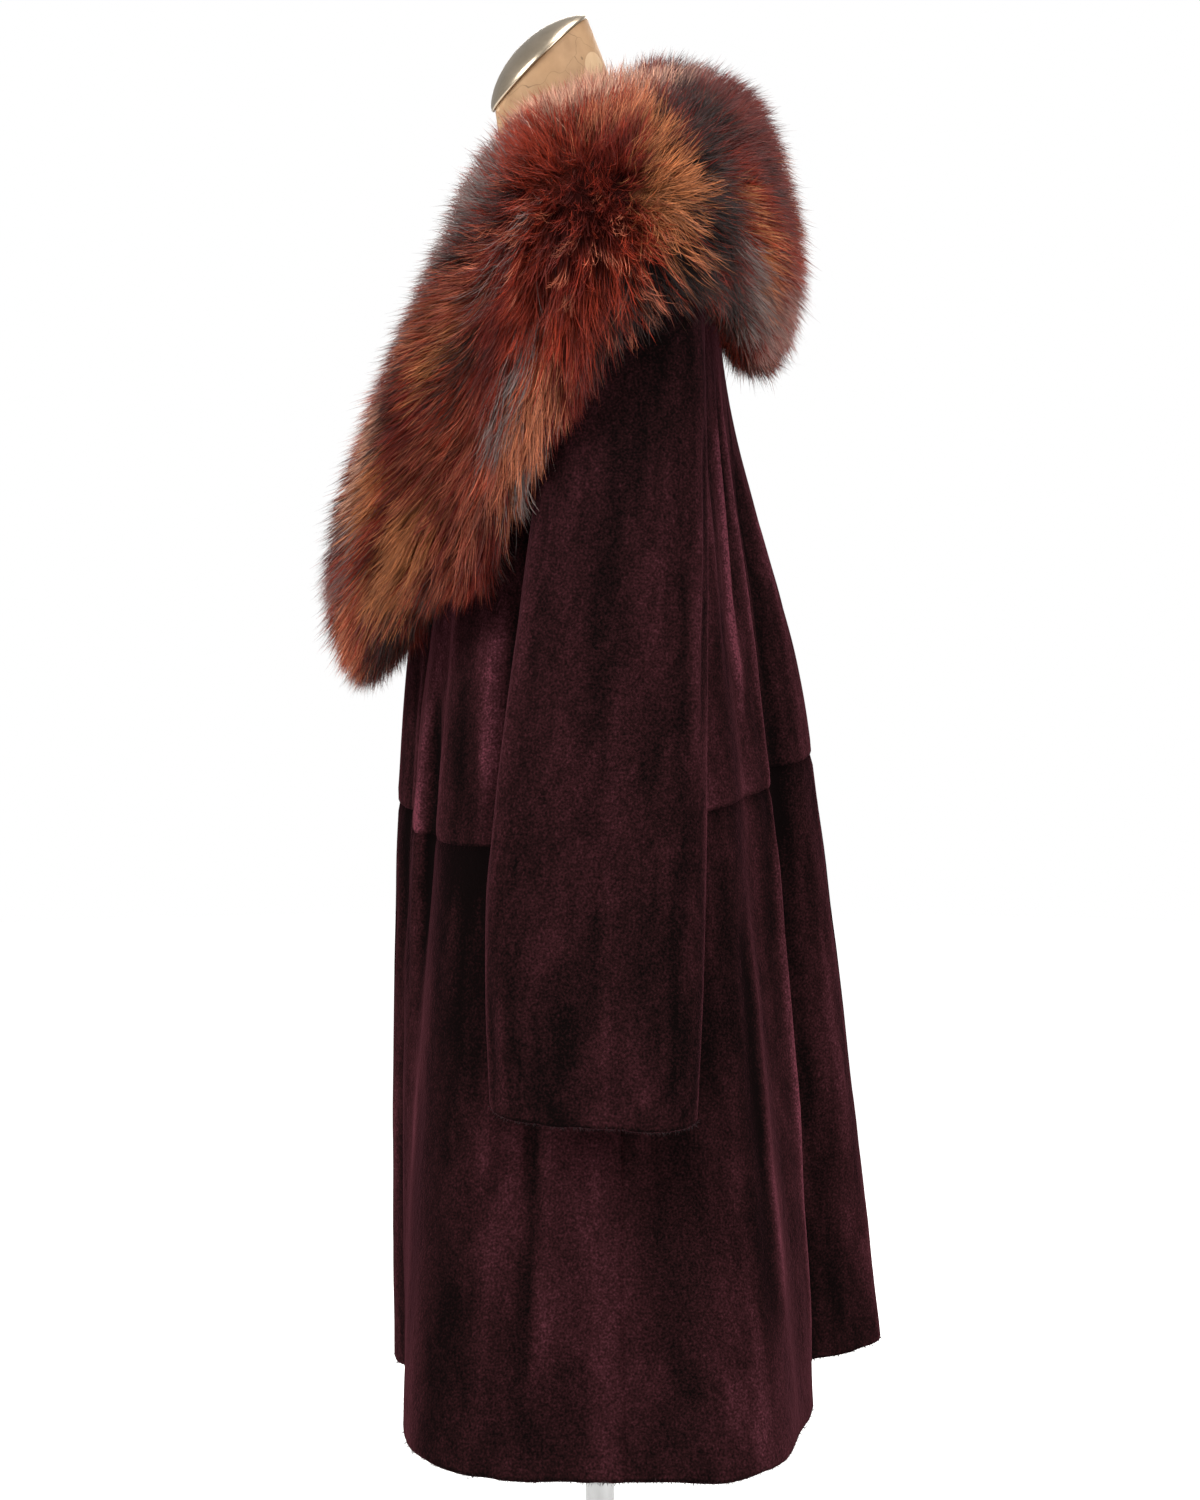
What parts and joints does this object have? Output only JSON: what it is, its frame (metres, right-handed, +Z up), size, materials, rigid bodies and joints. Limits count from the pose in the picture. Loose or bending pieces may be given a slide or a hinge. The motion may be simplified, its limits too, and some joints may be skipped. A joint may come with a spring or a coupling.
{
  "type": "sheared fur coat on dress form",
  "caption": "Knee-length sheared fur swing coat with a wide long-haired shawl collar, worn by a limbless dress form on a round-based stand.",
  "frame": {"origin": "on the floor under the pole, at the centre of the base plate's underside", "axes": "+Z up along the pole; the wearer faces -Y and +X is the wearer's left"},
  "size_m": [0.808, 0.4664, 1.5606],
  "materials": {
    "pelt": "velvety sheared pile, deep plum brown",
    "fur": "long dyed hair in rust, orange, charcoal and blue grey",
    "linen": "matt tan covering",
    "steel": "brushed"
  },
  "bodies": {
    "root": {"front_upper_left": "pelt", "front_upper_right": "pelt", "front_lower_left": "pelt", "front_lower_right": "pelt", "back_upper_left": "pelt", "back_upper_right": "pelt", "back_lower_left": "pelt", "back_lower_right": "pelt", "sleeve_left": "pelt", "sleeve_right": "pelt", "collar_left": "fur", "collar_right": "fur", "form_torso": "linen", "neck_cap": "steel", "form_flange": "steel", "stand_pole": "steel", "stand_socket": "steel", "stand_base": "steel"}
  },
  "joints": []
}
